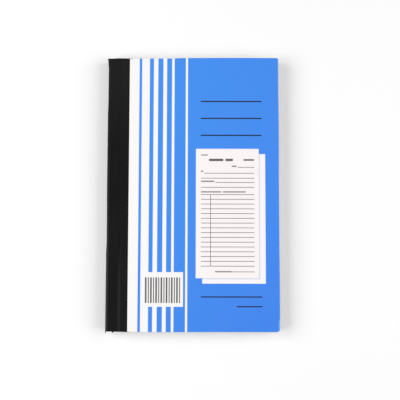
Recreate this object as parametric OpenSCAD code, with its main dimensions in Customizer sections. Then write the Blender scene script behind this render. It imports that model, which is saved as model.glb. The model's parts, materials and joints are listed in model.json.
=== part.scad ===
// Duplicate book: board covers, a black cloth spine and a wire stitched block of leaves in sets of two.
// +X runs from the spine to the fore-edge, +Y from the tail to the head, +Z up through the front cover.
// The origin is under the middle of the closed book, on the surface that it lies on.

/* [Book] */
// Width of the closed book, from the spine to the fore-edge
book_w = 127; // [100:1:180]
// Height of the closed book, from the tail to the head
book_h = 203; // [150:1:260]
// Radius of the covers' fore-edge corner at the tail
tail_corner_r = 2.3; // [1:0.1:6]
// Radius of the covers' fore-edge corner at the head
head_corner_r = 1.3; // [1:0.1:6]

/* [Covers] */
// Thickness of the grey board
board_t = 1.8; // [1.4:0.1:3]
// Distance from the spine to the edge of each board, which leaves the cloth free to bend
joint_w = 8.5; // [7.5:0.5:12]
// Thickness of the printed paper on the outside of each board
cover_paper_t = 0.13; // [0.08:0.01:0.3]
// Thickness of the paper lining on the inside of each board
pastedown_t = 0.1; // [0.06:0.01:0.2]
// Distance of that lining from the edges of its board
pastedown_inset = 2; // [1:0.5:6]

/* [Spine] */
// Thickness of the binding cloth
cloth_t = 0.25; // [0.2:0.01:0.4]
// Width of cloth that shows on each cover
cloth_show = 16.1; // [14:0.1:30]
// Width of cloth that each cover paper lies over
cloth_tuck = 2; // [1:0.5:5]
// Thickness of the lining glued to the back of the leaves
lining_t = 0.2; // [0.1:0.05:0.5]
// Distance from the spine to the line where each cover hinges
hinge_in = 1.6; // [1.2:0.1:2.4]

/* [Leaves] */
// Number of sets, each of one original and one duplicate
set_count = 50; // [10:1:100]
// Thickness of an original
original_t = 0.075; // [0.05:0.005:0.12]
// Thickness of a duplicate
duplicate_t = 0.065; // [0.05:0.005:0.12]
// Thickness of a plain leaf at the front or the back
flyleaf_t = 0.1; // [0.06:0.01:0.2]
// Distance of the leaves from the covers' edges
leaf_trim = 0.3; // [0.1:0.1:0.9]
// Distance from the spine to the line where the leaves bend
bend_in = 8; // [7:0.5:11]
// Distance from the spine to the perforation of the originals
perforation_in = 14; // [12:0.5:24]

/* [Carbon sheets] */
// Thickness of a carbon sheet
carbon_t = 0.05; // [0.03:0.01:0.1]
// Distance from the spine to a carbon sheet
carbon_in = 12; // [12:0.5:24]
// Distance of a carbon sheet from the other edges of the leaves
carbon_inset = 2.5; // [1:0.5:8]

/* [Wire stitches] */
// Number of stitches along the spine
stitches = 3; // [2:1:4]
// Distance between the middles of neighbouring stitches
stitch_pitch = 62; // [20:1:64]
// Distance between the two legs of a stitch
stitch_w = 12; // [10:0.5:16]
// Diameter of the wire
wire_d = 0.5; // [0.4:0.05:0.6]
// Distance from the spine to the stitches
stitch_in = 4.5; // [4:0.1:5]
// Length of each leg that is turned over at the back
clinch = 4.5; // [3:0.5:4.9]

/* [Clearances] */
// Air between a turning leaf and its neighbour
leaf_gap = 0.03; // [0.02:0.01:0.06]
// Air between the block of leaves and each cover
cover_gap = 0.05; // [0.03:0.01:0.1]
// Air around the wire in the leaves
wire_gap = 0.02; // [0.01:0.01:0.05]
// Width of the cut in the cloth, in a bent leaf and in a perforation
cut_gap = 0.1; // [0.06:0.02:0.2]

/* [Hidden] */
$fn = 48;

// Colours
cover_blue = [0.28, 0.56, 0.94];
board_grey = [0.62, 0.58, 0.52];
cloth_black = [0.12, 0.12, 0.13];
lining_brown = [0.72, 0.60, 0.45];
original_white = [0.98, 0.97, 0.96];
duplicate_white = [0.91, 0.93, 0.98];
endpaper_white = [0.93, 0.92, 0.88];
carbon_blue = [0.08, 0.09, 0.16];
wire_grey = [0.75, 0.75, 0.77];

// How far a cutting block reaches past the board that it cuts
cut_over = 1;

// The sets at the front whose leaves turn one by one
turning_sets = 3;
bound_sets = set_count - turning_sets;
set_t = original_t + duplicate_t;

// Lines across the book, from the spine
spine_x = -book_w / 2;
fore_x = book_w / 2;
lining_x = spine_x + cloth_t;
leaf_x = lining_x + lining_t;
hinge_x = spine_x + hinge_in;
stitch_x = spine_x + stitch_in;
bend_x = spine_x + bend_in;
board_x = spine_x + joint_w;
perforation_x = spine_x + perforation_in;
carbon_x = spine_x + carbon_in;
paper_x = spine_x + cloth_show;
cloth_x = paper_x + cloth_tuck;
leaf_fore_x = fore_x - leaf_trim;

// Half lengths along the spine
half_h = book_h / 2;
leaf_half = half_h - leaf_trim;

// Corner radii at the tail and the head
cover_corners = [tail_corner_r, head_corner_r];
leaf_corners = [tail_corner_r - leaf_trim, head_corner_r - leaf_trim];

// Levels from the back cover up
board_z = cover_paper_t;
pastedown_z = board_z + board_t;
block_z = pastedown_z + pastedown_t + cover_gap;
spare_z = block_z + flyleaf_t + leaf_gap;
stack_z = spare_z + carbon_t + leaf_gap;
bound_top = stack_z + bound_sets * set_t;
flyleaf_z = original_z(1) + original_t + leaf_gap;
block_top = flyleaf_z + flyleaf_t;
book_t = block_top + block_z;

// The cloth's outside at the spine's shoulder, its round there in thicknesses and in steps of degrees,
// and its slope up to the board
shoulder_z = block_z - cloth_t;
bend_ratio = 2.4;
shoulder_step = 15;
shoulder_r = bend_ratio * cloth_t;
cloth_slope = (shoulder_z - board_z) / (joint_w - shoulder_r);

// Underside of duplicate k and of original k, counted from the front
function duplicate_z(k) = bound_top + leaf_gap + (turning_sets - k) * (set_t + 2 * leaf_gap);
function original_z(k) = duplicate_z(k) + duplicate_t + leaf_gap + (k == 1 ? carbon_t + leaf_gap : 0);

// Level of the cloth's outside under the back joint, on a line across the book
function cloth_z(x) = shoulder_z - cloth_slope * (x - spine_x - shoulder_r);

// Outline of a sheet with two round corners at the fore-edge, their radii given at the tail and the head
module sheet_outline(left, right, half, corners) {
    translate([left, corners[0] - half]) square([right - left, 2 * half - corners[0] - corners[1]]);
    for (end = [0, 1]) {
        r = corners[end];
        middle = end == 0 ? r - half : half - r;
        translate([left, end == 0 ? -half : 0]) square([right - r - left, half]);
        translate([right - r, middle]) circle(r);
    }
}

// Places of the stitches' middles
module at_stitches() {
    for (i = [0 : stitches - 1]) translate([stitch_x, (i - (stitches - 1) / 2) * stitch_pitch]) children();
}

// Places of the wire's legs
module at_legs() {
    at_stitches() for (side = [-1, 1]) translate([0, side * stitch_w / 2]) children();
}

// Outline of a leaf from a line across the book to the fore-edge
module leaf_outline(left) {
    sheet_outline(left, leaf_fore_x, leaf_half, leaf_corners);
}

// A whole leaf held by the wire
module stitched_leaf(z, t) {
    translate([0, 0, z]) linear_extrude(t) difference() {
        leaf_outline(leaf_x);
        at_legs() circle(d = wire_d + 2 * wire_gap);
    }
}

// The strip of a turning leaf that the wire holds
module stitched_strip(z, t) {
    translate([0, 0, z]) linear_extrude(t) difference() {
        translate([leaf_x, -leaf_half]) square([bend_x - leaf_x, 2 * leaf_half]);
        at_legs() circle(d = wire_d + 2 * wire_gap);
    }
}

// The rest of a turning leaf
module turning_leaf(z, t) {
    translate([0, 0, z]) linear_extrude(t) leaf_outline(bend_x + cut_gap);
}

// A loose carbon sheet
module carbon(z) {
    translate([carbon_x, -leaf_half + carbon_inset, z])
        cube([leaf_fore_x - carbon_inset - carbon_x, 2 * (leaf_half - carbon_inset), carbon_t]);
}

// Turns a piece of the back cover into the same piece of the front cover
module at_front() {
    translate([0, 0, book_t]) mirror([0, 0, 1]) children();
}

// A profile in X and Z, drawn along the whole spine
module along_spine(points) {
    rotate([90, 0, 0]) linear_extrude(book_h, center = true) polygon(points);
}

// Covers, drawn as the back one
module board() {
    translate([0, 0, board_z]) difference() {
        linear_extrude(board_t) sheet_outline(board_x, fore_x, half_h, cover_corners);
        // the cloth is pressed in flush with the board
        translate([board_x - cut_over, -half_h - cut_over, -cut_over])
            cube([cloth_x - board_x + cut_over, book_h + 2 * cut_over, cut_over + cloth_t]);
    }
}

module cover_paper() {
    linear_extrude(cover_paper_t) sheet_outline(paper_x, fore_x, half_h, cover_corners);
}

module pastedown() {
    translate([0, 0, pastedown_z]) linear_extrude(pastedown_t)
        sheet_outline(board_x, fore_x - pastedown_inset, half_h - pastedown_inset, cover_corners);
}

module cloth_lap() {
    left = hinge_x + cut_gap / 2;
    along_spine([
        [left, cloth_z(left)],
        [board_x, board_z],
        [cloth_x, board_z],
        [cloth_x, board_z + cloth_t],
        [board_x, board_z + cloth_t],
        [left, cloth_z(left) + cloth_t]
    ]);
}

// Half of the cloth's profile around the back shoulder, from its edge at the hinge line to the spine
function shoulder_points(edge) = concat(
    [[edge, cloth_z(edge)]],
    [for (a = [270 : -shoulder_step : 180])
        [spine_x + shoulder_r + shoulder_r * cos(a), shoulder_z + shoulder_r + shoulder_r * sin(a)]]
);

module spine_cloth() {
    edge = hinge_x - cut_gap / 2;
    back = shoulder_points(edge);
    front = [for (i = [len(back) - 1 : -1 : 0]) [back[i][0], book_t - back[i][1]]];
    inside = [
        [edge, block_top + shoulder_z - cloth_z(edge)],
        [spine_x + shoulder_r, block_top],
        [lining_x, block_top],
        [lining_x, block_z],
        [spine_x + shoulder_r, block_z],
        [edge, cloth_z(edge) + cloth_t]
    ];
    color(cloth_black) along_spine(concat(back, front, inside));
}

module spine_lining() {
    color(lining_brown) translate([lining_x, -leaf_half, block_z])
        cube([lining_t, 2 * leaf_half, block_top - block_z]);
}

module wire_stitches() {
    top = block_top + wire_d / 2 + wire_gap;
    bottom = block_z - wire_d / 2 - wire_gap;
    color(wire_grey) {
        at_stitches() {
            translate([0, 0, top]) rotate([90, 0, 0]) cylinder(h = stitch_w, d = wire_d, center = true);
            for (side = [-1, 1]) translate([0, side * stitch_w / 2, bottom])
                rotate([90 * side, 0, 0]) cylinder(h = clinch, d = wire_d);
        }
        at_legs() {
            translate([0, 0, bottom]) cylinder(h = top - bottom, d = wire_d);
            for (z = [bottom, top]) translate([0, 0, z]) sphere(d = wire_d);
        }
    }
}

module bound_originals() {
    color(original_white) {
        for (i = [0 : bound_sets - 1]) stitched_leaf(stack_z + i * set_t + duplicate_t, original_t);
        for (k = [1 : turning_sets]) stitched_strip(original_z(k), original_t);
    }
}

module bound_duplicates() {
    color(duplicate_white) {
        for (i = [0 : bound_sets - 1]) stitched_leaf(stack_z + i * set_t, duplicate_t);
        for (k = [1 : turning_sets]) stitched_strip(duplicate_z(k), duplicate_t);
    }
}

module front_flyleaf_strip() {
    color(endpaper_white) stitched_strip(flyleaf_z, flyleaf_t);
}

module back_flyleaf() {
    color(endpaper_white) stitched_leaf(block_z, flyleaf_t);
}

module front_board() { color(board_grey) at_front() board(); }
module front_cover_paper() { color(cover_blue) at_front() cover_paper(); }
module front_pastedown() { color(endpaper_white) at_front() pastedown(); }
module front_cloth_lap() { color(cloth_black) at_front() cloth_lap(); }

module back_board() { color(board_grey) board(); }
module back_cover_paper() { color(cover_blue) cover_paper(); }
module back_pastedown() { color(endpaper_white) pastedown(); }
module back_cloth_lap() { color(cloth_black) cloth_lap(); }

module front_flyleaf() {
    color(endpaper_white) turning_leaf(flyleaf_z, flyleaf_t);
}

// The part of an original that stays in the book
module original_stub(k) {
    color(original_white) translate([bend_x + cut_gap, -leaf_half, original_z(k)])
        cube([perforation_x - bend_x - cut_gap, 2 * leaf_half, original_t]);
}

// The part of an original that tears off along the perforation
module original_leaf(k) {
    color(original_white) translate([0, 0, original_z(k)]) linear_extrude(original_t)
        leaf_outline(perforation_x + cut_gap);
}

module duplicate(k) {
    color(duplicate_white) turning_leaf(duplicate_z(k), duplicate_t);
}

module carbon_sheet() {
    color(carbon_blue) carbon(duplicate_z(1) + duplicate_t + leaf_gap);
}

module spare_carbon_sheet() {
    color(carbon_blue) carbon(spare_z);
}

spine_cloth();
spine_lining();
wire_stitches();
bound_originals();
bound_duplicates();
front_flyleaf_strip();
back_flyleaf();
front_board();
front_cover_paper();
front_pastedown();
front_cloth_lap();
back_board();
back_cover_paper();
back_pastedown();
back_cloth_lap();
front_flyleaf();
original_stub(1);  // original_1_stub
original_leaf(1);  // original_1_leaf
duplicate(1);  // duplicate_1
original_stub(2);  // original_2_stub
original_leaf(2);  // original_2_leaf
duplicate(2);  // duplicate_2
original_stub(3);  // original_3_stub
original_leaf(3);  // original_3_leaf
duplicate(3);  // duplicate_3
carbon_sheet();
spare_carbon_sheet();
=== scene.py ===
"""Dresses a duplicate book: striped board covers, a black cloth spine and a stitched block of leaves."""

import json
import math

import bpy
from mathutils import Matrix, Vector


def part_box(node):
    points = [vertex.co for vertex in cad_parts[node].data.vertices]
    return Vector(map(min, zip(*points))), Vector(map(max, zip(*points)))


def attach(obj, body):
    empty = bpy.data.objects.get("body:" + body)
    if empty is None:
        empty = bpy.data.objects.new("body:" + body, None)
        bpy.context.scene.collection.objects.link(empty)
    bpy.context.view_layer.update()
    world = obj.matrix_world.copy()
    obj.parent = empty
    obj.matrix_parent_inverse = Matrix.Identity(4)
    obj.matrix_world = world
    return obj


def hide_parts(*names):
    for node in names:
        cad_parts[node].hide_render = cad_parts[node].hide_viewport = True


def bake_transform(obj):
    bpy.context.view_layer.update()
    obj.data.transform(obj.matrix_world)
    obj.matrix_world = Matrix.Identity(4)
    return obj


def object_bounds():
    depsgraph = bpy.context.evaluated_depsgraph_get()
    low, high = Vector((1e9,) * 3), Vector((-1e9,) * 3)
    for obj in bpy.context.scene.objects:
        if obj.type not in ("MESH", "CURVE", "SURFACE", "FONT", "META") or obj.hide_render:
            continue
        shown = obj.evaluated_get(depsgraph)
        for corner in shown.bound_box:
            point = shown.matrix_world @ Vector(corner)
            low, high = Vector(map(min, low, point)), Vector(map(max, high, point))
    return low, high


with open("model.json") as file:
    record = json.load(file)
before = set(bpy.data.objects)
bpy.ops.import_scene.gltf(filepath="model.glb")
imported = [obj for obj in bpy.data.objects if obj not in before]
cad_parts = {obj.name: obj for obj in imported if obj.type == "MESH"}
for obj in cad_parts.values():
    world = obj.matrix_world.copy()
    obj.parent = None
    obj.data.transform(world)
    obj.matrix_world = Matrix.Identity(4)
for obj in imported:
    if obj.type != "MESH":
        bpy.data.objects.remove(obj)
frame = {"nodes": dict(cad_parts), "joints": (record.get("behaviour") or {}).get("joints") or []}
cad_box = [list(corner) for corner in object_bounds()]
MM = 0.001


def face_z(node, sign):
    """The level of a node's upper face, or of its lower one where sign is -1."""
    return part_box(node)[1 if sign > 0 else 0][2]


def thickness(node):
    return face_z(node, 1) - face_z(node, -1)


# Lines and levels that the frame gives
(SPINE_X, _, _), (FORE_X, HALF_H, TOP_Z) = cad_box
BOARD_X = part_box("front_board")[0][0]
PAPER_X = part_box("front_cover_paper")[0][0]
CLOTH_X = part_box("front_cloth_lap")[1][0]
LEAF_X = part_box("front_flyleaf_strip")[0][0]
LEAF_FORE_X, LEAF_HALF, BLOCK_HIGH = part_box("front_flyleaf")[1]
PERFORATION_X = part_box("original_1_stub")[1][0]
MID_Z = TOP_Z / 2
BOOK_W_MM = (FORE_X - SPINE_X) / MM
BOOK_H_MM = 2 * HALF_H / MM

# Sets of an original and a duplicate: those that turn, and those that stay bound
TURNING_SETS = (1, 2, 3)
SET_T = thickness("original_1_leaf") + thickness("duplicate_1")
BOUND_SETS = round((face_z("duplicate_3", -1) - face_z("bound_duplicates", -1)) / SET_T)

# Corner rounds at the tail and the head, at the fore-edge
COVER_CORNERS = (2.3 * MM, 1.3 * MM)
LEAF_CORNERS = tuple(radius - (FORE_X - LEAF_FORE_X) for radius in COVER_CORNERS)
STUB_CORNERS = (0.05 * MM, 0.05 * MM)
CARBON_CORNERS = (0.8 * MM, 0.8 * MM)

# Outlines of the sheets: left, right, half the height and the corner rounds. A line of glue keeps the leaves
# off the lining.
GLUE_LINE = 0.3 * MM
BOARD_OUTLINE = (BOARD_X, FORE_X, HALF_H, COVER_CORNERS)
PRINT_OUTLINE = (PAPER_X, FORE_X, HALF_H, COVER_CORNERS)
LEAF_OUTLINE = (LEAF_X + GLUE_LINE, LEAF_FORE_X, LEAF_HALF, LEAF_CORNERS)
STUB_OUTLINE = (LEAF_X + GLUE_LINE, PERFORATION_X, LEAF_HALF, STUB_CORNERS)

# Meshes: the spacing of their lines, the degrees of a step in a round corner, the least distance between two
# lines, and the turn from which an edge is sharp
BOARD_GRID = 6 * MM
PRINT_GRID = 4 * MM
LEAF_GRID = 12 * MM
BOUND_GRID = 45 * MM
ROUND_STEP = 15
ROW_LEAST = 0.02 * MM
COLUMN_LEAST = 0.005 * MM
SHARP_ANGLE = math.radians(40)

# Covers: how far their outside is pressed down along the trimmed edges and at the corners, the mesh lines
# that this takes, and half the width of the board's step where the cloth is sunk in
EDGE_PRESS = 0.22 * MM
EDGE_PRESS_WIDTH = 0.9 * MM
CORNER_PRESS = 0.45 * MM
CORNER_PRESS_WIDTH = 5.0 * MM
HEAD_PRESS_SHARE = 0.5
PRESS_LINES = [share * EDGE_PRESS_WIDTH for share in (0.12, 0.3, 0.55, 1.0)] + [2.2 * MM, 3.6 * MM]
CLOTH_STEP = 0.01 * MM

# Trimming: millimetres that the covers' cut reaches past the nominal edge, by millimetres from the spine
# at the head and the tail, and from the head at the fore-edge. The powers hold the shift close to its edge.
HEAD_TRIM = ((0, 0.0), (3, -0.2), (16, -0.35), (45, -0.4), (58, 0.0), (90, 0.15), (127, 0.1))
TAIL_TRIM = ((0, 0.05), (7.5, 0.05), (16, 0.3), (50, 0.3), (90, 0.15), (127, 0.1))
FORE_TRIM = (
    (0, 0.06), (28, 0.1), (44, 0.24), (64, 0.24), (98, 0.04), (144, 0.08), (160, 0.2), (188, 0.2), (203, 0.0),
)
END_POWER = 3
FORE_POWER = 8

# Cloth: thickness, rounds at the spine's shoulder and over the board's edge, the ridge that this edge makes,
# the flare at the head, and its fold length, with which it keeps its place and rides no cover
CLOTH_T = 0.25 * MM
SHOULDER_R_HEAD = 0.75 * MM
SHOULDER_R_TAIL = 1.15 * MM
CREST_R = 2.5 * MM
RIDGE = 0.07 * MM
RIDGE_IN = 0.3 * MM
RIDGE_WIDTH = 0.7 * MM
HEAD_FLARE = 0.75 * MM
HEAD_FLARE_LENGTH = 9.5 * MM
CLOTH_FOLD = 2.2 * MM

# Millimetres that the spine's cloth stands off the leaves, by millimetres from the head
SPINE_SLACK = ((0, 0.0), (34, 0.0), (42, 0.26), (100, 0.26), (124, 0.05), (138, 0.0), (146, 0.3), (203, 0.3))

# Frayed threads at the tail: millimetres from the spine and lengths, their width and their depth
FRAYS = ((0.0, 1.3), (5.6, 1.5))
FRAY_WIDTH = 0.45
FRAY_DEPTH = 1.6 * MM

# The cloth's mesh: spacing of its rows, of the last at each end and along a row, and the steps of a round
CLOTH_ROW = 3 * MM
CLOTH_END_ROW = 0.4 * MM
CLOTH_GRID = 0.45 * MM
CLOTH_ROUND_STEPS = 8

# Spine lining: its air to the cloth, and the spacing of its mesh along and across the spine
LINING_AIR = 0.02 * MM
LINING_ROW = 12 * MM
LINING_GRID = 1 * MM

# Bound leaves: how far single leaves and runs of them are out of line, how fast the runs change, and seeds
LEAF_STRAY = 0.1 * MM
LEAF_DRIFT = 0.16 * MM
DRIFT_PACE = 0.11
ORIGINAL_SEED = 11
DUPLICATE_SEED = 23

# Turning leaves: the length from the hinge line that gets extra mesh lines, and the mesh steps in it
FLYLEAF_FOLD = 10.0 * MM
STUB_FOLD = 5.4 * MM
COPY_FOLD = 6.6 * MM
FOLD_STEPS = 10

# Perforation: the paper ties of a leaf, their gap to the stub and their root in the leaf
TIE_PITCH = 2.3 * MM
TIE_LENGTH = 0.8 * MM
TIE_TAPER = 0.15 * MM
TIE_GAP = 0.003 * MM
TIE_ROOT = 0.02 * MM

# Wire stitches: their number, the width between the legs, the turned-in ends, the bends' radius and the mesh
STITCH_COUNT = 3
STITCH_WIDTH = 12.0 * MM
CLINCH = 4.5 * MM
WIRE_BEND = 0.45 * MM
BEND_STEPS = 6
WIRE_SIDES = 12

# The cover's print, in millimetres from the spine and the head. Rectangles are left, right, top, bottom.
STRIPES = ((23.4, 25.3), (31.1, 34.1), (37.4, 41.2), (44.0, 47.7), (49.6, 58.0), (59.6, BOOK_W_MM + 10))
FRONT_SHEET = (65.7, 112.15, 68.8, 164.3)
SECOND_SHEET_SHIFT = (4.8, 3.9)
SHEET_SHADOW = 0.7
PLAIN_RULES = (
    (69.2, 114.3, 32.6, 33.6), (69.2, 114.3, 45.4, 46.4), (69.2, 114.3, 58.2, 59.2),
    (69.5, 114.3, 177.4, 178.3), (95.5, 114.3, 184.4, 185.3),
)
LABEL = (26.1, 56.5, 159.9, 185.0)
BAR_START = 29.3
BAR_PITCH = 1.9
BAR_PAIRS = 7
BAR_WIDTHS = (1.2, 0.75)
BAR_HEIGHT = (163.7, 182.3)

# Softness of the print's edges
INK_SOFT = 0.06
RULE_SOFT = 0.05
STRIPE_SOFT = 0.1

# Where the cover's print is rubbed: the trimmed edge. Where a highlight is painted on its bent corner: the
# part of the fore-edge between two heights above the tail. The last value is the softness.
RUBBED_EDGE = (0.0, 0.2)
CORNER_HIGHLIGHT_HEIGHT = (8.0, 1.6, 1.4)
CORNER_HIGHLIGHT_WIDTH = (1.0, 0.8)

# The form on the cover and on the leaves: left, right, top, scale, and the first row, the row pitch and the
# number of rows of its table
COVER_FORM = (69.5, 108.75, 73.0, 1.0, 102.9, 3.507, 16)
LEAF_FORM = (22.0, 119.0, 8.0, 2.07, 54.0, 8.1, 16)

# What a form holds: each bar's start and end in widths of the form, and its top and bottom in millimetres at
# scale 1, the same of each line but for its bottom, and the place of the table's column line
HEADING_BARS = ((0.15, 0.42, 3.2, 5.0), (0.46, 0.60, 3.2, 5.0), (0.80, 1.0, 3.5, 4.7))
SMALL_BARS = (
    (0.0, 0.13, 0.0, 0.9), (0.58, 0.67, 8.3, 9.4), (0.0, 0.04, 12.0, 13.2), (0.0, 0.25, 19.5, 20.6),
    (0.0, 0.38, 27.4, 28.4), (0.41, 0.84, 27.4, 28.4), (0.26, 0.57, 86.0, 87.0),
)
WRITE_LINES = (
    (0.69, 1.0, 9.4), (0.06, 1.0, 13.8), (0.0, 1.0, 17.5),
    (0.27, 1.0, 20.7), (0.0, 1.0, 24.3), (0.57, 1.0, 86.4),
)
LINE_WIDTH = 0.45
COLUMN_WIDTH = 0.44
TABLE_COLUMN = 0.179

# The perforation's cuts, in millimetres: the first from the head, their number, reach to each side, softness
CUT_START = 1.0
CUT_COUNT = 90
CUT_REACH = (0.12, 0.22)
CUT_SOFT = 0.03

# The cloth's weave, where it is worn, and where highlights are painted on its shoulders and its ridge:
# millimetres from the spine or from the head, then the softness
THREAD_PITCH = 0.55
LAP_START = (9.5, 1.0)
HANDLED_HEAD = (42.0, 25.0)
HANDLED_TAIL = (140.0, 25.0)
SHOULDER_HIGHLIGHT_DEPTH = 1.4
SHOULDER_HIGHLIGHT_SOFT = 0.5
SHOULDER_HIGHLIGHT_WIDTH = (1.15, 0.6)
SHOULDER_HIGHLIGHT_START = (105.0, 55.0)
RIDGE_HIGHLIGHT_BAND = (8.9, 10.7, 0.6)
RIDGE_HIGHLIGHT_START = (156.0, 16.0)

# Colours of the print, linear, with the blue towards the lower right, the rubbed tones and a painted
# highlight
WHITE_PRINT = (0.93, 0.905, 0.905, 1)
FORM_PRINT = (0.943, 0.889, 0.889, 1)
COOL_PRINT = (0.93, 0.893, 0.922, 1)
SHADOW_PRINT = (0.36, 0.47, 0.68, 1)
BLUE_PRINT = (0.050, 0.275, 0.85, 1)
# The blue's darker tone towards the cover's lower right
BLUE_AT_LOWER_RIGHT = (0.046, 0.222, 0.82, 1)
NAVY_PRINT = (0.004, 0.010, 0.045, 1)
GREY_PRINT = (0.10, 0.082, 0.08, 1)
BLACK_PRINT = (0.015, 0.014, 0.014, 1)
WORN_WHITE = (0.74, 0.72, 0.70, 1)
# Also the paler blue of the painted highlight on the cover's corner
WORN_AND_HIGHLIT_BLUE = (0.14, 0.43, 0.97, 1)

# Colours of the cloth, linear, and of the highlights painted on its shoulders and its ridge
CLOTH_BLACK = (0.0010, 0.0010, 0.0012, 1)
CLOTH_GRAIN = (0.0036, 0.0036, 0.0040, 1)
CLOTH_HANDLED = (0.0105, 0.0105, 0.0112, 1)
CLOTH_SHOULDER_HIGHLIGHT = (0.042, 0.040, 0.036, 1)
CLOTH_RIDGE_HIGHLIGHT = (0.021, 0.021, 0.0225, 1)

# Colours of the leaves, linear: each paper's plain and clouded tone and the shade of its trimmed edges, the
# form's ink and the perforation's cuts
ORIGINAL_TONES = ((0.84, 0.83, 0.81, 1), (0.80, 0.785, 0.755, 1))
ORIGINAL_SHADE = (0.70, 0.68, 0.64, 1)
DUPLICATE_TONES = ((0.75, 0.78, 0.84, 1), (0.70, 0.735, 0.81, 1))
DUPLICATE_SHADE = (0.59, 0.63, 0.71, 1)
ENDPAPER_TONES = ((0.82, 0.80, 0.75, 1), (0.77, 0.745, 0.685, 1))
FORM_INK = (0.035, 0.065, 0.23, 1)
CUT_GREY = (0.25, 0.25, 0.25, 1)

# Colours of the other materials, linear: a dark and a pale tone of each, and the board's specks
BOARD_TONES = ((0.20, 0.175, 0.145, 1), (0.42, 0.385, 0.33, 1))
BOARD_SPECK = (0.12, 0.10, 0.085, 1)
CARBON_TONES = ((0.004, 0.005, 0.013, 1), (0.016, 0.018, 0.040, 1))
KRAFT_TONES = ((0.30, 0.20, 0.11, 1), (0.46, 0.33, 0.20, 1))
WIRE_TONES = ((0.42, 0.42, 0.43, 1), (0.66, 0.66, 0.67, 1))

# Studio, in metres: the surround's light, each lamp's place, width, height and watts, and the floor's half
# size, where it fades to white and how much it glows
STUDIO_WHITE = (1, 1, 1, 1)
FLOOR_PALE = (0.9, 0.9, 0.9, 1)
WORLD_LIGHT = 0.43
SOFTBOXES = {
    "left_softbox": ((-0.90, -0.02, 0.80), 1.1, 0.80, 11.0),
    "right_softbox": ((1.0, -0.02, 0.68), 1.1, 0.95, 8.3),
}
FLOOR_HALF = 3.0
FLOOR_FADE = (0.55, 0.3)
FLOOR_LIFT = 0.08

# Camera: its place, its turn in degrees and its lens in millimetres
CAMERA_PLACE = (7.27 * MM, -58.91 * MM, 582.41 * MM)
CAMERA_TURN = (5.354, 0.191, 0.116)
LENS_LENGTH = 70.0
SENSOR_WIDTH = 36.0


class Field:
    """A value that changes over a surface or from copy to copy. Arithmetic on it adds Math nodes."""

    def __init__(self, nodes, socket):
        self.nodes = nodes
        self.socket = socket

    def math(self, operation, *values):
        """A Math node on values in their order, of which this field is one."""
        return self.nodes.field("ShaderNodeMath", 0, dict(enumerate(values)), operation=operation)

    def __add__(self, other):
        return self.math("ADD", self, other)

    def __radd__(self, other):
        return self.math("ADD", other, self)

    def __sub__(self, other):
        return self.math("SUBTRACT", self, other)

    def __rsub__(self, other):
        return self.math("SUBTRACT", other, self)

    def __mul__(self, other):
        return self.math("MULTIPLY", self, other)

    def __rmul__(self, other):
        return self.math("MULTIPLY", other, self)

    def __truediv__(self, other):
        return self.math("DIVIDE", self, other)

    def __abs__(self):
        return self.math("ABSOLUTE", self)

    def at_least(self, other):
        return self.math("MAXIMUM", self, other)

    def at_most(self, other):
        return self.math("MINIMUM", self, other)

    def to_nearest(self):
        return self.math("ROUND", self)

    def sine(self):
        return self.math("SINE", self)


def total(fields):
    """The sum of one field or more."""
    first, *rest = fields
    return sum(rest, first)


def socket_of(sockets, key):
    """The socket that has this number, identifier or name."""
    return next(s for i, s in enumerate(sockets) if key in (i, s.identifier, s.name))


class NodeTree:
    """A tree whose nodes all come from one method."""

    def __init__(self, tree):
        self.tree = tree

    def node(self, kind, inputs=None, **settings):
        """A new node. Its settings are set first, then the values or links of its inputs."""
        made = self.tree.nodes.new(kind)
        for key, value in settings.items():
            setattr(made, key, value)
        for key, value in (inputs or {}).items():
            socket = socket_of(made.inputs, key)
            if isinstance(value, Field):
                self.tree.links.new(value.socket, socket)
            else:
                socket.default_value = value
        return made

    def field(self, kind, output, inputs=None, **settings):
        """One output of a new node."""
        return Field(self, socket_of(self.node(kind, inputs, **settings).outputs, output))


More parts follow.
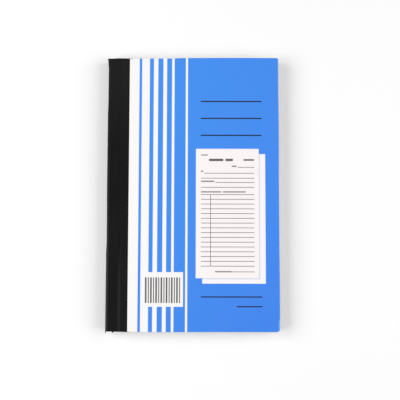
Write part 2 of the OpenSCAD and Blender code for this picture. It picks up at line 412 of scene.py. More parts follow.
class Recipe(NodeTree):
    """One material, or the world's surround, and the nodes that make it."""

    def __init__(self, name, owner=None):
        self.material = owner or bpy.data.materials.new(name)
        self.material.use_nodes = True
        super().__init__(self.material.node_tree)
        self.tree.nodes.clear()

    def seen_ray(self):
        """1 for rays by which the studio is seen, straight or in a reflection, and 0 for its light."""
        path = self.node("ShaderNodeLightPath").outputs
        camera, glossy, through = (
            Field(self, path[f"Is {kind} Ray"]) for kind in ("Camera", "Glossy", "Transmission")
        )
        return camera.at_least(glossy).at_least(through)

    def place(self):
        """Millimetres from the spine, from the head and up, on the closed book."""
        at = self.field("ShaderNodeTexCoord", "Object")
        split = self.node("ShaderNodeSeparateXYZ", {"Vector": at})
        x, y, z = (Field(self, s) / MM for s in split.outputs)
        return x - SPINE_X / MM, HALF_H / MM - y, z

    def noise(self, size, detail, stretch=(1, 1, 1)):
        """A soft random value about 0.5, with blotches about size millimetres across."""
        at = self.field("ShaderNodeTexCoord", "Object")
        inputs = {"Vector": at, "Scale": tuple(1 / s for s in stretch)}
        spread = self.field("ShaderNodeMapping", "Vector", inputs)
        inputs = {"Vector": spread, "Scale": 1 / (size * MM), "Detail": detail}
        return self.field("ShaderNodeTexNoise", "Fac", inputs, normalize=True)

    def step(self, value, edge, soft):
        """0 below an edge and 1 above it."""
        inputs = {"Value": value, "From Min": edge - soft, "From Max": edge + soft}
        return self.field("ShaderNodeMapRange", "Result", inputs, clamp=True)

    def band(self, value, low, high, soft=INK_SOFT):
        return self.step(value, low, soft) - self.step(value, high, soft)

    def patch(self, x, down, sides):
        """1 inside a rectangle that is given as left, right, top and bottom."""
        left, right, top, bottom = sides
        return self.band(x, left, right) * self.band(down, top, bottom)

    def rules(self, value, first, pitch, count, width):
        """Evenly spaced lines."""
        along = (value - first) / pitch
        away = abs(along - along.to_nearest()) * pitch
        line = 1 - self.step(away, width / 2, RULE_SOFT)
        return line * self.band(value, first - pitch / 2, first + (count - 0.5) * pitch)

    def mix(self, factor, first, second):
        inputs = {"Factor_Float": factor, "A_Color": first, "B_Color": second}
        return self.field("ShaderNodeMix", "Result_Color", inputs, data_type="RGBA")

    def bump(self, height, distance, strength):
        """A normal for a height from 0 to 1 that stands for a distance in millimetres."""
        inputs = {"Height": height, "Distance": distance * MM, "Strength": strength}
        return self.field("ShaderNodeBump", "Normal", inputs)

    def mixed_shader(self, factor, first, second):
        return self.field("ShaderNodeMixShader", "Shader", {0: factor, 1: first, 2: second})

    def surface(self, colour, rough, normal, shine=0.5, metal=0.0):
        """Ends the recipe in one shader and returns the material."""
        inputs = {"Base Color": colour, "Roughness": rough, "Normal": normal}
        inputs |= {"Specular IOR Level": shine, "Metallic": metal}
        shader = self.field("ShaderNodeBsdfPrincipled", "BSDF", inputs)
        self.node("ShaderNodeOutputMaterial", {"Surface": shader})
        return self.material


def form_ink(paint, x, down, form):
    """Ink of a ruled form: heading bars, small bars, lines with table rows, and the column line."""
    left, right, top, scale, first_row, row_pitch, row_count = form
    width = right - left

    def bars(places):
        sides = [
            (left + start * width, left + end * width, top + high * scale, top + low * scale)
            for start, end, high, low in places
        ]
        return total(paint.patch(x, down, each) for each in sides)

    lines = bars((start, end, high, high + LINE_WIDTH) for start, end, high in WRITE_LINES)
    rows = paint.rules(down, first_row, row_pitch, row_count, LINE_WIDTH) * paint.band(x, left, right)
    column = left + TABLE_COLUMN * width
    last_row = first_row + (row_count - 1) * row_pitch
    upright = (column - COLUMN_WIDTH / 2, column + COLUMN_WIDTH / 2, first_row, last_row)
    return bars(HEADING_BARS), bars(SMALL_BARS), lines + rows, paint.patch(x, down, upright)


def printed_sheets(paint, x, down, ground):
    """The picture of a form on the cover: a ruled sheet that lies on a second one."""
    left, right, top, bottom = FRONT_SHEET
    over, below = SECOND_SHEET_SHIFT
    second = (left + over, right + over, top + below, bottom + below)
    shadow = (left + over, right + SHEET_SHADOW, top + below, bottom + SHEET_SHADOW)
    colour = paint.mix(paint.patch(x, down, second), ground, COOL_PRINT)
    colour = paint.mix(paint.patch(x, down, shadow) * 0.55, colour, SHADOW_PRINT)
    colour = paint.mix(paint.patch(x, down, FRONT_SHEET), colour, FORM_PRINT)
    heading, small, lines, upright = form_ink(paint, x, down, COVER_FORM)
    colour = paint.mix(lines * 0.97, colour, GREY_PRINT)
    colour = paint.mix(upright * 0.95, colour, GREY_PRINT)
    return paint.mix((heading + small * 0.8).at_most(1.0) * 0.9, colour, BLACK_PRINT)


def printed_label(paint, x, down, ground):
    """A white panel with even bars, wide and narrow by turns."""
    colour = paint.mix(paint.patch(x, down, LABEL), ground, WHITE_PRINT)
    wide, narrow = (
        paint.rules(x, BAR_START + i * BAR_PITCH, 2 * BAR_PITCH, BAR_PAIRS, width)
        for i, width in enumerate(BAR_WIDTHS)
    )
    bars = (wide + narrow).at_most(1.0) * paint.band(down, *BAR_HEIGHT)
    return paint.mix(bars * 0.9, colour, BLACK_PRINT)


def rubbed_and_highlit_print(paint, x, down):
    """How much the cover's ink is rubbed off along the trimmed edges, and where a highlight is painted on the
    bent corner at the fore-edge above the tail.
    """
    edge = (BOOK_W_MM - x).at_most(down).at_most(BOOK_H_MM - down)
    ragged = edge + (paint.noise(1.6, 4.0) - 0.5) * 0.9
    # The painted highlight: a strip along the fore-edge, a few millimetres above the tail.
    high, low, soft = CORNER_HIGHLIGHT_HEIGHT
    inward = (BOOK_W_MM - x) + (paint.noise(2.2, 3.0) - 0.5) * 0.8
    corner_highlight = paint.band(down, BOOK_H_MM - high, BOOK_H_MM - low, soft)
    corner_highlight = corner_highlight * (1 - paint.step(inward, *CORNER_HIGHLIGHT_WIDTH))
    return ((1 - paint.step(ragged, *RUBBED_EDGE)) * 0.5 + corner_highlight * 0.8).at_most(1.0)


def cover_print(name, with_form):
    """Blue and white striped cover paper under a thin gloss film, rubbed at its edges, with a painted
    highlight on its corner at the tail of the fore-edge.
    """
    paint = Recipe(name)
    x, down, _ = paint.place()
    blue = total(paint.band(x, left, right, STRIPE_SOFT) for left, right in STRIPES)
    # The blue darkens from the upper left towards the lower right, with a faint random cloud.
    lower = down / BOOK_H_MM
    toward_lower_right = (x / BOOK_W_MM + lower * lower) * 0.5 + (paint.noise(14.0, 3.0) - 0.5) * 0.3
    ink = paint.mix(toward_lower_right.at_least(0.0).at_most(1.0), BLUE_PRINT, BLUE_AT_LOWER_RIGHT)
    colour = paint.mix(blue, WHITE_PRINT, ink)
    if with_form:
        colour = printed_sheets(paint, x, down, colour)
        colour = printed_label(paint, x, down, colour)
        rules = total(paint.patch(x, down, sides) for sides in PLAIN_RULES)
        colour = paint.mix(rules, colour, NAVY_PRINT)
    # Rubbed edges turn pale, and the bent corner gets a painted highlight in paler blue.
    rubbed_and_highlit = rubbed_and_highlit_print(paint, x, down)
    colour = paint.mix(rubbed_and_highlit, colour, paint.mix(blue, WORN_WHITE, WORN_AND_HIGHLIT_BLUE))
    fibre = paint.noise(0.5, 4.0)
    film = paint.noise(2.6, 3.0)
    rough = 0.36 + (film - 0.5) * 0.16 + rubbed_and_highlit * 0.2
    normal = paint.bump(fibre * 0.35 + film * 0.65, 0.02, 0.5)
    return paint.surface(colour, rough, normal, shine=0.35)


def board_edge(name):
    """Raw grey board: pressed fibres in thin layers, with dark specks."""
    paint = Recipe(name)
    layers = paint.noise(0.35, 3.0, (14, 14, 1))
    specks = paint.noise(0.8, 5.0)
    colour = paint.mix(layers, *BOARD_TONES)
    colour = paint.mix(paint.step(specks, 0.62, 0.04) * 0.5, colour, BOARD_SPECK)
    normal = paint.bump(layers * 0.6 + specks * 0.4, 0.12, 0.8)
    return paint.surface(colour, 0.92, normal, shine=0.2)


def binding_cloth(name):
    """Black coated cloth: a fine weave under a thin grain, paler where it is handled, with painted highlights
    on the spine's shoulders and on the ridge over the board's edge.
    """
    paint = Recipe(name)
    flat = paint.field("ShaderNodeUVMap", "UV", uv_map="UVMap")
    split = paint.node("ShaderNodeSeparateXYZ", {"Vector": flat})
    turns = 2 * math.pi / THREAD_PITCH
    warp, weft = ((Field(paint, split.outputs[i]) * turns).sine() for i in (0, 1))
    weave = warp * weft * 0.5 + 0.5
    grain = paint.noise(0.9, 5.0)
    worn = paint.noise(22.0, 3.0)
    x, down, z = paint.place()

    by_head = 1 - paint.step(down, *HANDLED_HEAD)
    by_tail = paint.step(down, *HANDLED_TAIL)
    handled = by_head * 0.6 + paint.step(x, *LAP_START) * (0.35 + 0.2 * by_tail)
    handled = (handled + (worn - 0.5) * 0.2).at_least(0.0)
    colour = paint.mix(grain, CLOTH_BLACK, CLOTH_GRAIN)
    colour = paint.mix(handled, colour, CLOTH_HANDLED)

    # A painted highlight on the rounded shoulders at the spine, strongest towards the tail.
    shoulder_z = (BLOCK_HIGH + CLOTH_T - MID_Z) / MM - SHOULDER_HIGHLIGHT_DEPTH
    rim = paint.step(abs(z - MID_Z / MM), shoulder_z, SHOULDER_HIGHLIGHT_SOFT)
    rim = rim * (1 - paint.step(x + (grain - 0.5) * 0.8, *SHOULDER_HIGHLIGHT_WIDTH))
    rim = rim * (0.2 + 0.8 * paint.step(down, *SHOULDER_HIGHLIGHT_START))
    colour = paint.mix(rim, colour, CLOTH_SHOULDER_HIGHLIGHT)
    # A painted highlight along the ridge over the board's edge, mostly near the tail.
    ridge = paint.band(x + (worn - 0.5), *RIDGE_HIGHLIGHT_BAND) * (0.05 + 0.95 * paint.step(down, *RIDGE_HIGHLIGHT_START))
    colour = paint.mix(ridge * (0.5 + grain * 0.5), colour, CLOTH_RIDGE_HIGHLIGHT)

    rough = 0.62 + (worn - 0.5) * 0.25 - weave * 0.05
    normal = paint.bump(weave * 0.55 + grain * 0.45, 0.05, 0.55)
    return paint.surface(colour, rough, normal, shine=0.065)


def clouded(paint, tones):
    """A paper's tone with its faint cloudy formation."""
    return paint.mix(paint.noise(3.0, 4.0) * 0.5, *tones)


def fibrous(paint, colour, rough):
    """Ends a recipe in uncoated paper with fine fibre."""
    normal = paint.bump(paint.noise(0.3, 4.0), 0.02, 0.5)
    return paint.surface(colour, rough, normal, shine=0.25)


def plain_paper(name, tones):
    """Unprinted paper."""
    paint = Recipe(name)
    return fibrous(paint, clouded(paint, tones), 0.88)


def form_paper(name, tones, perforated):
    """Writing paper printed with a ruled form, and with cuts along the perforation where it has one."""
    paint = Recipe(name)
    x, down, _ = paint.place()
    heading, small, lines, upright = form_ink(paint, x, down, LEAF_FORM)
    marks = (heading + small * 0.8 + lines * 0.75 + upright * 0.75).at_most(1.0)
    colour = paint.mix(marks * 0.85, clouded(paint, tones), FORM_INK)
    if perforated:
        line = (PERFORATION_X - SPINE_X) / MM
        before, after = CUT_REACH
        cuts = paint.rules(down, CUT_START, TIE_PITCH / MM, CUT_COUNT, (TIE_PITCH - TIE_LENGTH) / MM)
        cuts = cuts * paint.band(x, line - before, line + after, CUT_SOFT)
        colour = paint.mix(cuts * 0.5, colour, CUT_GREY)
    return fibrous(paint, colour, 0.9)


def leaf_edges(name, plain, shade):
    """The trimmed edges of the bound leaves: every leaf a little lighter or darker than the next."""
    paint = Recipe(name)
    own = paint.field("ShaderNodeAttribute", "Fac", attribute_name="leaf_shade")
    dust = paint.noise(7.0, 4.0, (1, 3, 0.4))
    colour = paint.mix((own * 0.75 + dust * 0.35).at_most(1.0), plain, shade)
    normal = paint.bump(paint.noise(0.25, 4.0), 0.03, 0.6)
    return paint.surface(colour, 0.93, normal, shine=0.2)


def carbon_coat(name):
    """Waxy dark blue coating on thin tissue, with faint handling streaks."""
    paint = Recipe(name)
    streaks = paint.noise(6.0, 5.0, (1, 4, 1))
    colour = paint.mix(streaks, *CARBON_TONES)
    rough = 0.34 + (streaks - 0.5) * 0.3
    normal = paint.bump(paint.noise(1.2, 4.0), 0.05, 0.6)
    return paint.surface(colour, rough, normal, shine=0.45)


def kraft_lining(name):
    """Brown kraft paper glued over the back of the leaves."""
    paint = Recipe(name)
    fibre = paint.noise(0.6, 5.0, (1, 5, 1))
    colour = paint.mix(fibre, *KRAFT_TONES)
    normal = paint.bump(fibre, 0.05, 0.7)
    return paint.surface(colour, 0.9, normal, shine=0.2)


def stitching_wire(name):
    """Tinned steel wire, drawn lengthwise and slightly dulled."""
    paint = Recipe(name)
    dull = paint.noise(2.0, 3.0)
    colour = paint.mix(dull, *WIRE_TONES)
    rough = 0.28 + dull * 0.2
    normal = paint.bump(paint.noise(0.12, 3.0, (1, 12, 1)), 0.01, 0.4)
    return paint.surface(colour, rough, normal, metal=1.0)


def new_piece(name, corners, faces, materials, choose=None, edges=()):
    """A mesh object at the origin, smooth apart from its sharp edges."""
    mesh = bpy.data.meshes.new(name)
    mesh.from_pydata(corners, edges, faces)
    for material in materials:
        mesh.materials.append(material)
    mesh.polygons.foreach_set("use_smooth", [True] * len(faces))
    if choose:
        mesh.polygons.foreach_set("material_index", choose)
    mesh.set_sharp_from_angle(angle=SHARP_ANGLE)
    piece = bpy.data.objects.new(name, mesh)
    bpy.context.scene.collection.objects.link(piece)
    return piece


def grid_shell(outer, inner):
    """Corners and faces of a closed thin shell between two grids of points with the same rows and columns.
    The outer grid's faces come first, then the walls, then the inner grid's faces."""
    rows, columns = len(outer), len(outer[0])
    corners = [point for grid in (outer, inner) for row in grid for point in row]
    half = rows * columns

    def quads(offset):
        for j in range(rows - 1):
            for i in range(columns - 1):
                a = offset + j * columns + i
                yield a, a + 1, a + columns + 1, a + columns

    rim = list(range(columns))
    rim += [j * columns + columns - 1 for j in range(1, rows)]
    rim += [(rows - 1) * columns + i for i in range(columns - 2, -1, -1)]
    rim += [j * columns for j in range(rows - 2, 0, -1)]
    walls = [(b, a, a + half, b + half) for a, b in zip(rim, rim[1:] + rim[:1])]
    return corners, [*quads(0), *walls, *(quad[::-1] for quad in quads(half))]


def evenly(low, high, pitch):
    count = max(1, round((high - low) / pitch))
    return [low + (high - low) * i / count for i in range(count + 1)]


def spaced(values, least):
    """The values in order, without those that nearly repeat one before."""
    kept = []
    for value in sorted(values):
        if not kept or value - kept[-1] > least:
            kept.append(value)
    return kept


def smooth_step(share):
    share = min(1.0, max(0.0, share))
    return share * share * (3 - 2 * share)


def bell(value, middle, width):
    return math.exp(-((value - middle) / width) ** 2)


def along_table(table, distance):
    """A value between the rows of a table of millimetres, at a distance in metres and in metres itself."""
    away = distance / MM
    for (start, before), (end, after) in zip(table, table[1:]):
        if away <= end:
            return (before + (after - before) * smooth_step((away - start) / (end - start))) * MM
    return table[-1][1] * MM


def fore_edge(y, right, half, corner):
    """Where a sheet with round corners ends, on a line across it."""
    over = abs(y) - (half - corner)
    if over <= 0:
        return right
    return right - corner + math.sqrt(max(corner ** 2 - over ** 2, 0.0))


def trimmed(x, y):
    """Where a point of a cover lies after its uneven trim."""
    over = along_table(FORE_TRIM, HALF_H - y) * ((x - SPINE_X) / (FORE_X - SPINE_X)) ** FORE_POWER
    reach = along_table(HEAD_TRIM if y > 0 else TAIL_TRIM, x - SPINE_X)
    return x + over, y + reach * (y / HALF_H) ** END_POWER


def untrimmed(x, y):
    return x, y


def level(z):
    return lambda x, y: z


def flat_faces(node):
    """Levels of a flat node's lower and upper face."""
    return level(face_z(node, -1)), level(face_z(node, 1))


def outline_of(node, rounds):
    (left, _, _), (right, half, _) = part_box(node)
    return left, right, half, rounds


def sheet(name, outline, faces, finish, edge_finish=None, grid=LEAF_GRID, rims=(), lines=(), cut=untrimmed):
    """A sheet with round corners at the fore-edge. faces give the levels of its lower and upper face at a
    point, and edge_finish is for all but the upper one. rims are distances from its edges where it gets
    extra lines, lines are extra lines along the spine, and cut moves a point to an uneven edge."""
    left, right, half, (tail_r, head_r) = outline
    low, high = faces
    turns = [math.sin(math.radians(a)) for a in range(0, 91, ROUND_STEP)]
    rows = [half - head_r + head_r * t for t in turns] + [tail_r - half - tail_r * t for t in turns]
    rows += [half - rim for rim in rims] + [rim - half for rim in rims]
    rows = spaced(rows + evenly(tail_r - half, half - head_r, grid), ROW_LEAST)
    columns = evenly(left, right, grid) + [right - rim for rim in rims] + list(lines)
    columns = spaced(columns, COLUMN_LEAST)
    high_grid, low_grid = [], []
    for y in rows:
        share = (fore_edge(y, right, half, head_r if y > 0 else tail_r) - left) / (right - left)
        xs = [left + (x - left) * share for x in columns]
        high_grid.append([(*cut(x, y), high(x, y)) for x in xs])
        low_grid.append([(*cut(x, y), low(x, y)) for x in xs])
    corners, quads = grid_shell(high_grid, low_grid)
    upper = (len(rows) - 1) * (len(columns) - 1)
    choose = [0] * upper + [1] * (len(quads) - upper)
    return new_piece(name, corners, quads, [finish, edge_finish or finish], choose)


def pressed(x, y):
    """How far a cover's outside is pressed down near its trimmed edges and its corners."""
    in_x, in_y = FORE_X - x, HALF_H - abs(y)
    away = max(min(in_x, in_y), 0.0)
    edge = EDGE_PRESS * max(0.0, 1 - away / EDGE_PRESS_WIDTH) ** 2
    corner = CORNER_PRESS * max(0.0, 1 - math.hypot(in_x, in_y) / CORNER_PRESS_WIDTH) ** 2
    return edge + (corner if y < 0 else HEAD_PRESS_SHARE * corner)


def hinge_of(body):
    """A point on the line about which a body turns."""
    return next(joint["pos_m"] for joint in frame["joints"] if joint["child"] == body)


def settle(piece, nodes, body, fold=None):
    """Hides the nodes that a piece stands for, and hangs the piece on the body that it rides. A piece with a
    fold has its place baked into its mesh instead, and rides no body."""
    if nodes:
        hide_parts(*nodes)
    if fold:
        x, y, z = hinge_of(body)
        x + fold
        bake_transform(piece)
    else:
        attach(piece, body)


def cover(side, sign, print_finish, board_finish):
    """A board and its printed paper. sign is 1 for the front cover and -1 for the back one."""
    board_node, paper_node = f"{side}_board", f"{side}_cover_paper"
    inner, outer, skin = face_z(board_node, -sign), face_z(board_node, sign), face_z(paper_node, sign)

    def board_outside(x, y):
        return outer - sign * pressed(x, y)

    def under_cloth(x, y):
        return board_outside(x, y) - sign * (CLOTH_T if x < CLOTH_X else 0.0)

    def print_outside(x, y):
        return skin - sign * pressed(x, y)

    def stacked(inside, outside):
        return (inside, outside) if sign > 0 else (outside, inside)

    board = sheet(
        f"{side}_board_piece", BOARD_OUTLINE, stacked(level(inner), under_cloth), board_finish,
        grid=BOARD_GRID, rims=PRESS_LINES, lines=(CLOTH_X - CLOTH_STEP, CLOTH_X + CLOTH_STEP), cut=trimmed,
    )
    paper = sheet(
        f"{side}_print", PRINT_OUTLINE, stacked(board_outside, print_outside), print_finish,
        grid=PRINT_GRID, rims=PRESS_LINES, cut=trimmed,
    )
    settle(board, [board_node], f"{side}_cover")
    settle(paper, [paper_node], f"{side}_cover")


def rounded_path(points, radii, steps):
    """A path through points, with each inner corner made an arc. A point of the cloth's section is a complex
    number: x, and the height from mid-spine towards the cover."""
    path = [points[0]]
    for before, at, after, radius in zip(points, points[1:], points[2:], radii):
        to_before = (before - at) / abs(before - at)
        to_after = (after - at) / abs(after - at)
        half = math.acos((to_before * to_after.conjugate()).real) / 2
        middle = (to_before + to_after) / abs(to_before + to_after)
        centre = at + middle * radius / math.sin(half)
        start, end = (at + way * radius / math.tan(half) - centre for way in (to_before, to_after))
        first = math.atan2(start.imag, start.real)
        turn = (math.atan2(end.imag, end.real) - first + math.pi) % (2 * math.pi) - math.pi
        angles = [first + turn * i / steps for i in range(steps + 1)]
        path += [centre + radius * complex(math.cos(angle), math.sin(angle)) for angle in angles]
    return path + [points[-1]]


def filled_in(path, counts):
    """The same path with each stretch cut into its count of pieces."""
    full = [path[0]]
    for a, b, count in zip(path, path[1:], counts):
        full += [a + (b - a) * i / count for i in range(1, count + 1)]
    return full


def tailward(y):
    """0 at the head and 1 at the tail."""
    return 0.5 - 0.5 * y / HALF_H


def cloth_path(y, lift, knee):
    """The cloth's outside on a line across the book, from its edge on a cover to mid-spine."""
    shoulder = SHOULDER_R_HEAD + (SHOULDER_R_TAIL - SHOULDER_R_HEAD) * tailward(y)
    points = [complex(CLOTH_X, lift), complex(BOARD_X, lift), complex(SPINE_X, knee), complex(SPINE_X, 0.0)]
    return rounded_path(points, (CREST_R, shoulder), CLOTH_ROUND_STEPS)


def off_book(path, i):
    """The way straight off the book, at a point of the cloth's path."""
    along = path[min(i + 1, len(path) - 1)] - path[max(i - 1, 0)]
    return complex(-abs(along.imag), abs(along.real)) / abs(along)


def tail_fray(at, knee):
    """How far the cloth's threads hang over the tail."""
    away = (at.real - SPINE_X) / MM
    hang = sum(length * bell(away, place, FRAY_WIDTH) for place, length in FRAYS) * MM
    return hang * bell(at.imag, knee, FRAY_DEPTH)


def cloth_row(path, y, knee, sign, frayed):
    """One row of points on the cloth's outside and inside."""
    flare = HEAD_FLARE * max(0.0, 1 - (HALF_H - y) / HEAD_FLARE_LENGTH) ** 2
    stand_off = flare + along_table(SPINE_SLACK, HALF_H - y)
    outer, inner = [], []
    for i, at in enumerate(path):
        way = off_book(path, i)
        ridge = RIDGE * tailward(y) * bell(at.real, BOARD_X + RIDGE_IN, RIDGE_WIDTH)
        outside = at + complex(way.real * stand_off, ridge)
        inside = outside - way * CLOTH_T
        end = trimmed(at.real, y)[1] - (tail_fray(at, knee) if frayed else 0.0)
        outer.append((outside.real, end, MID_Z + sign * outside.imag))
        inner.append((inside.real, end, MID_Z + sign * inside.imag))
    return outer, inner


def cloth_half(side, sign, material):
    """Half of the binding cloth. sign is 1 for the front half, which frays at the tail, or else -1."""
    lift = abs(face_z(f"{side}_cloth_lap", sign) - MID_Z)
    knee = BLOCK_HIGH - MID_Z + CLOTH_T
    rows = evenly(-HALF_H, HALF_H, CLOTH_ROW)
    rows = [rows[0], rows[0] + CLOTH_END_ROW, *rows[1:-1], rows[-1] - CLOTH_END_ROW, rows[-1]]
    first = cloth_path(rows[0], lift, knee)
    counts = [max(1, math.ceil(abs(b - a) / CLOTH_GRID)) for a, b in zip(first, first[1:])]
    outer, inner, flat = [], [], []
    for y in rows:
        path = filled_in(cloth_path(y, lift, knee), counts)
        outer_row, inner_row = cloth_row(path, y, knee, sign, y == rows[0] and sign > 0)
        outer.append(outer_row)
        inner.append(inner_row)
        length = 0.0
        for before, at in zip(path[:1] + path, path):
            length += abs(at - before)
            flat.append((y / MM, length / MM))
    corners, faces = grid_shell(outer, inner)
    if sign > 0:
        faces = [face[::-1] for face in faces]
    piece = new_piece(f"{side}_binding_cloth", corners, faces, [material])
    layer = piece.data.uv_layers.new(name="UVMap")
    for loop in piece.data.loops:
        layer.data[loop.index].uv = flat[loop.vertex_index % len(flat)]
    nodes = [f"{side}_cloth_lap"] + (["spine_cloth"] if sign > 0 else [])
    settle(piece, nodes, f"{side}_cover", CLOTH_FOLD)


def spine_lining(material):
    """The lining between the leaves and the cloth, cut short of the round shoulders."""
    low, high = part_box("spine_lining")
    rows = evenly(low[1], high[1], LINING_ROW)
    levels = evenly(low[2] + SHOULDER_R_TAIL, high[2] - SHOULDER_R_TAIL, LINING_GRID)
    back, front = ([[(x, y, z) for z in levels] for y in rows] for x in (low[0] + LINING_AIR, high[0]))
    piece = new_piece("kraft_spine_lining", *grid_shell(back, front), [material])
    settle(piece, ["spine_lining"], "text_block")


class CopyTree(NodeTree):
    """Geometry Nodes that copy a shape along a line, with named inputs for their sizes."""

    def __init__(self, name, inputs):
        super().__init__(bpy.data.node_groups.new(name, "GeometryNodeTree"))
        for label, kind in inputs.items():
            self.tree.interface.new_socket(label, in_out="INPUT", socket_type=f"NodeSocket{kind}")
        self.tree.interface.new_socket("Copies", in_out="OUTPUT", socket_type="NodeSocketGeometry")
        sockets = self.node("NodeGroupInput").outputs
        self.given = {label: Field(self, sockets[label]) for label in inputs}

    def line(self, axis):
        """Count points, a pitch apart along one axis."""
        step = self.field("ShaderNodeCombineXYZ", "Vector", {axis: self.given["Pitch"]})
        inputs = {"Count": self.given["Count"], "Offset": step}
        return self.field("GeometryNodeMeshLine", "Mesh", inputs)

    def chance(self, low, high):
        """A random number for each point or copy."""
        index = self.field("GeometryNodeInputIndex", "Index")
        inputs = {"Min_001": low, "Max_001": high, "ID": index, "Seed": self.given["Seed"]}
        return self.field("FunctionNodeRandomValue", "Value_001", inputs, data_type="FLOAT")

    def copies(self, points, shape):
        inputs = {"Points": points, "Instance": shape}
        return self.field("GeometryNodeInstanceOnPoints", "Instances", inputs)

    def finish(self, copies):
        """Makes the copies real, gives them their material and returns the tree."""
        real = self.field("GeometryNodeRealizeInstances", "Geometry", {"Geometry": copies})
        inputs = {"Geometry": real, "Material": self.given["Material"]}
        dressed = self.field("GeometryNodeSetMaterial", "Geometry", inputs)
        self.node("NodeGroupOutput", {"Copies": dressed})
        return self.tree


def leaf_stack_tree():
    """Copies one leaf up the block, each a little out of line and of its own shade."""
    stack = CopyTree("leaf_stack", {
        "Leaf": "Geometry", "Count": "Int", "Pitch": "Float", "Stray": "Float", "Drift": "Float",
        "Seed": "Int", "Material": "Material",
    })
    along = stack.field("GeometryNodeInputIndex", "Index") * DRIFT_PACE
    inputs = {"W": along, "Scale": 1.0, "Detail": 2.0}
    runs = stack.field("ShaderNodeTexNoise", 0, inputs, noise_dimensions="1D")
    wander = (runs - 0.5) * stack.given["Drift"]
    across = stack.chance(stack.given["Stray"] * -1.0, stack.given["Stray"]) + wander
    offset = stack.field("ShaderNodeCombineXYZ", "Vector", {"X": across, "Y": wander})
    inputs = {"Geometry": stack.line("Z"), "Offset": offset}
    points = stack.field("GeometryNodeSetPosition", "Geometry", inputs)
    leaves = stack.copies(points, stack.given["Leaf"])
    inputs = {"Geometry": leaves, "Name": "leaf_shade", "Value": stack.chance(0.0, 1.0)}
    shaded = stack.field(
        "GeometryNodeStoreNamedAttribute", "Geometry", inputs, data_type="FLOAT", domain="INSTANCE"
    )
    return stack.finish(shaded)


def tie_row_tree():
    """Copies one small paper tie along a perforation."""
    row = CopyTree("tie_row", {"Tie": "Geometry", "Count": "Int", "Pitch": "Float", "Material": "Material"})
    return row.finish(row.copies(row.line("Y"), row.given["Tie"]))


def stitch_row_tree():
    """Bends a round wire along a stitch's path, and copies the stitch along the spine."""
    row = CopyTree("stitch_row", {
        "Path": "Geometry", "Radius": "Float", "Bend": "Float", "Count": "Int", "Pitch": "Float",
        "Material": "Material",
    })
    path = row.field("GeometryNodeMeshToCurve", "Curve", {"Mesh": row.given["Path"]})
    inputs = {"Curve": path, "Radius": row.given["Bend"], "Count": BEND_STEPS}
    bent = row.field("GeometryNodeFilletCurve", "Curve", inputs, mode="POLY")
    inputs = {"Resolution": WIRE_SIDES, "Radius": row.given["Radius"]}
    ring = row.field("GeometryNodeCurvePrimitiveCircle", "Curve", inputs, mode="RADIUS")
    inputs = {"Curve": bent, "Profile Curve": ring, "Fill Caps": True}
    wire = row.field("GeometryNodeCurveToMesh", "Mesh", inputs)
    inputs = {"Geometry": wire, "Shade Smooth": True}
    smooth = row.field("GeometryNodeSetShadeSmooth", "Geometry", inputs)
    return row.finish(row.copies(row.line("Y"), smooth))


def grow(piece, tree, **values):
    """Runs a tree on a piece, and keeps the result as its plain mesh. values are the tree's inputs."""
    modifier = piece.modifiers.new(tree.name, "NODES")
    modifier.node_group = tree
    for item in tree.interface.items_tree:
        if item.name in values:
            modifier[item.identifier] = values[item.name]
    shown = piece.evaluated_get(bpy.context.evaluated_depsgraph_get())
    mesh = bpy.data.meshes.new_from_object(shown)
    piece.modifiers.clear()
    piece.data = mesh


def bound_leaves(kind, single, tree, material, seed):
    """The bound originals or duplicates: one leaf copied up the block. single is the node of such a leaf."""
    node = f"bound_{kind}s"
    low = face_z(node, -1)
    faces = (level(low), level(low + thickness(single)))
    leaves = sheet(f"{node}_leaves", LEAF_OUTLINE, faces, material, grid=BOUND_GRID)
    grow(
        leaves, tree, Count=BOUND_SETS, Pitch=SET_T, Stray=LEAF_STRAY, Drift=LEAF_DRIFT, Seed=seed,
        Material=material,
    )
    settle(leaves, [node], "text_block")


def turning_sheet(name, nodes, outline, finish, edge_finish, body, fold):
    """A leaf that the wire holds, with extra mesh lines over its fold length from the hinge line. The first
    of its nodes is what turns.
    """
    x = hinge_of(body)[0]
    lines = evenly(x, x + fold, fold / FOLD_STEPS)
    piece = sheet(name, outline, flat_faces(nodes[0]), finish, edge_finish, lines=lines)
    settle(piece, nodes, body, fold)


def tie_shape(name, node, material):
    """The first of the ties that hold a leaf, widest at its root in the leaf."""
    (left, tail, low), (_, _, high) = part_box(node)
    x0, x1 = PERFORATION_X + TIE_GAP, left + TIE_ROOT
    middle = tail + TIE_PITCH / 2
    y0, y1 = middle - TIE_LENGTH / 2, middle + TIE_LENGTH / 2
    outline = ((x1, y0 - TIE_TAPER), (x1, y1 + TIE_TAPER), (x0, y1), (x0, y0))
    corners = [(x, y, z) for z in (high, low) for x, y in outline]
    faces = [(0, 1, 2, 3), (7, 6, 5, 4)] + [(i, i + 4, (i + 1) % 4 + 4, (i + 1) % 4) for i in range(4)]
    return new_piece(name, corners, faces, [material])


def original(k, tie_row, form, plain):
    """An original: its stub in the book, the leaf that tears off, and the ties between them."""
    name, slot = f"original_{k}", "original_paper"
    stub, leaf = f"{name}_stub", f"{name}_leaf"
    turning_sheet(f"{stub}_sheet", [stub], STUB_OUTLINE, form, plain, f"stub_{k}", STUB_FOLD)
    tear_off = sheet(f"{name}_tear_off", outline_of(leaf, LEAF_CORNERS), flat_faces(leaf), form, plain)
    settle(tear_off, [leaf], f"leaf_{k}")
    ties = tie_shape(f"{name}_ties", leaf, plain)
    grow(ties, tie_row, Count=int(2 * LEAF_HALF / TIE_PITCH), Pitch=TIE_PITCH, Material=plain)
    settle(ties, [], f"leaf_{k}")


def carbon(node, body, material):
    """A loose carbon sheet with slightly rounded corners."""
    piece = sheet(f"{node}_leaf", outline_of(node, CARBON_CORNERS), flat_faces(node), material)
    settle(piece, [node], body)


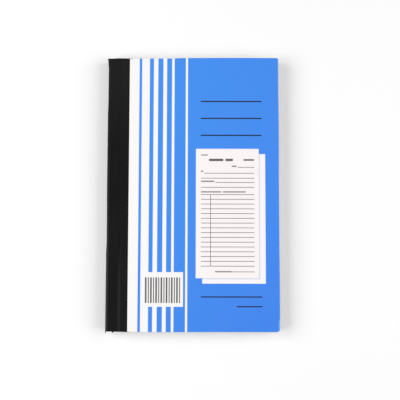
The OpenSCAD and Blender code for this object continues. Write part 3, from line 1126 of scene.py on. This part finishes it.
def wire_stitches(material):
    """The wire that holds the block: each stitch is bent from one length, its ends turned in at the back."""
    (left, tail, low), (right, head, high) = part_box("wire_stitches")
    radius = (right - left) / 2
    x, first, bottom, top = left + radius, tail + radius, low + radius, high - radius
    last = first + STITCH_WIDTH
    path = [
        (x, first + CLINCH, bottom), (x, first, bottom), (x, first, top),
        (x, last, top), (x, last, bottom), (x, last - CLINCH, bottom),
    ]
    edges = [(i, i + 1) for i in range(len(path) - 1)]
    wire = new_piece("stitching_wire_row", path, [], [material], edges=edges)
    pitch = (head - tail - 2 * radius - STITCH_WIDTH) / (STITCH_COUNT - 1)
    grow(
        wire, stitch_row_tree(), Radius=radius, Bend=WIRE_BEND, Count=STITCH_COUNT, Pitch=pitch,
        Material=material,
    )
    wire.data.set_sharp_from_angle(angle=SHARP_ANGLE)
    settle(wire, ["wire_stitches"], "text_block")


def kept_node(node, material):
    """A frame node whose shape is right keeps it and gets its finish."""
    mesh = frame["nodes"][node].data
    mesh.materials.clear()
    mesh.materials.append(material)


def surround():
    """A world that is white to the camera and lights the book softly."""
    world = bpy.data.worlds.new("surround")
    bpy.context.scene.world = world
    paint = Recipe("surround", world)
    lit = paint.field("ShaderNodeBackground", "Background", {"Strength": WORLD_LIGHT})
    shown = paint.field("ShaderNodeBackground", "Background", {"Color": STUDIO_WHITE})
    chosen = paint.mixed_shader(paint.seen_ray(), lit, shown)
    paint.node("ShaderNodeOutputWorld", {"Surface": chosen})


def studio_floor():
    """A pale floor that keeps the book's shadow, and fades to white away from it."""
    paint = Recipe("studio_floor")
    base = paint.field("ShaderNodeBsdfDiffuse", "BSDF", {"Color": FLOOR_PALE})
    lift = paint.field("ShaderNodeEmission", "Emission", {"Strength": FLOOR_LIFT})
    lifted = paint.field("ShaderNodeAddShader", "Shader", {0: base, 1: lift})
    near = paint.mixed_shader(paint.seen_ray(), base, lifted)
    far = paint.field("ShaderNodeEmission", "Emission", {"Color": STUDIO_WHITE})
    at = paint.field("ShaderNodeTexCoord", "Object")
    away = paint.field("ShaderNodeVectorMath", "Value", {0: at}, operation="LENGTH")
    fade = paint.step(away, *FLOOR_FADE) * paint.seen_ray()
    paint.node("ShaderNodeOutputMaterial", {"Surface": paint.mixed_shader(fade, near, far)})
    corners = [(x * FLOOR_HALF, y * FLOOR_HALF, 0) for x, y in ((-1, -1), (1, -1), (1, 1), (-1, 1))]
    new_piece("studio_floor", corners, [(0, 1, 2, 3)], [paint.material])


def softbox(name, place, width, height, power):
    """A soft lamp that faces the book."""
    light = bpy.data.lights.new(name, "AREA")
    light.shape = "RECTANGLE"
    light.size, light.size_y = width, height
    light.energy = power
    lamp = bpy.data.objects.new(name, light)
    lamp.location = place
    lamp.rotation_euler = (-Vector(place)).to_track_quat("-Z", "Y").to_euler()
    bpy.context.scene.collection.objects.link(lamp)


def book_camera():
    """The camera over the book."""
    lens = bpy.data.cameras.new("book_camera")
    lens.lens = LENS_LENGTH
    lens.sensor_width = SENSOR_WIDTH
    camera = bpy.data.objects.new("book_camera", lens)
    camera.location = CAMERA_PLACE
    camera.rotation_euler = [math.radians(a) for a in CAMERA_TURN]
    bpy.context.scene.collection.objects.link(camera)
    bpy.context.scene.camera = camera
    bpy.context.scene.view_settings.view_transform = "Standard"


def studio():
    """The surround, the floor, the lamps and the camera."""
    surround()
    studio_floor()
    for name, setting in SOFTBOXES.items():
        softbox(name, *setting)
    book_camera()


def case():
    """The two covers, the binding cloth around them and the lining under it."""
    grey_board = board_edge("grey_board_fibre")
    cover("front", 1, cover_print("front_cover_print", True), grey_board)
    cover("back", -1, cover_print("back_cover_print", False), grey_board)
    cloth = binding_cloth("black_binding_cloth")
    cloth_half("front", 1, cloth)
    cloth_half("back", -1, cloth)
    spine_lining(kraft_lining("kraft_lining"))


def block():
    """The leaves, the loose carbon sheets between them, and the wire."""
    plain_white = plain_paper("original_paper", ORIGINAL_TONES)
    plain_cool = plain_paper("duplicate_paper", DUPLICATE_TONES)
    endpaper = plain_paper("endpaper", ENDPAPER_TONES)
    original_form = form_paper("original_form", ORIGINAL_TONES, True)
    duplicate_form = form_paper("duplicate_form", DUPLICATE_TONES, False)
    original_edges = leaf_edges("original_edges", ORIGINAL_TONES[0], ORIGINAL_SHADE)
    duplicate_edges = leaf_edges("duplicate_edges", DUPLICATE_TONES[0], DUPLICATE_SHADE)

    stack = leaf_stack_tree()
    bound_leaves("original", "original_1_leaf", stack, original_edges, ORIGINAL_SEED)
    bound_leaves("duplicate", "duplicate_1", stack, duplicate_edges, DUPLICATE_SEED)
    tie_row = tie_row_tree()
    for k in TURNING_SETS:
        original(k, tie_row, original_form, plain_white)
        turning_sheet(
            f"duplicate_{k}_sheet", [f"duplicate_{k}"], LEAF_OUTLINE, duplicate_form, plain_cool,
            f"copy_{k}", COPY_FOLD,
        )
    turning_sheet(
        "front_flyleaf_sheet", ["front_flyleaf", "front_flyleaf_strip"], LEAF_OUTLINE, endpaper, endpaper,
        "flyleaf", FLYLEAF_FOLD,
    )
    coated = carbon_coat("carbon_coat")
    carbon("carbon_sheet", "carbon", coated)
    carbon("spare_carbon_sheet", "spare_carbon", coated)
    for node in ("front_pastedown", "back_pastedown", "back_flyleaf"):
        kept_node(node, endpaper)
    wire_stitches(stitching_wire("stitching_wire"))


studio()
case()
block()
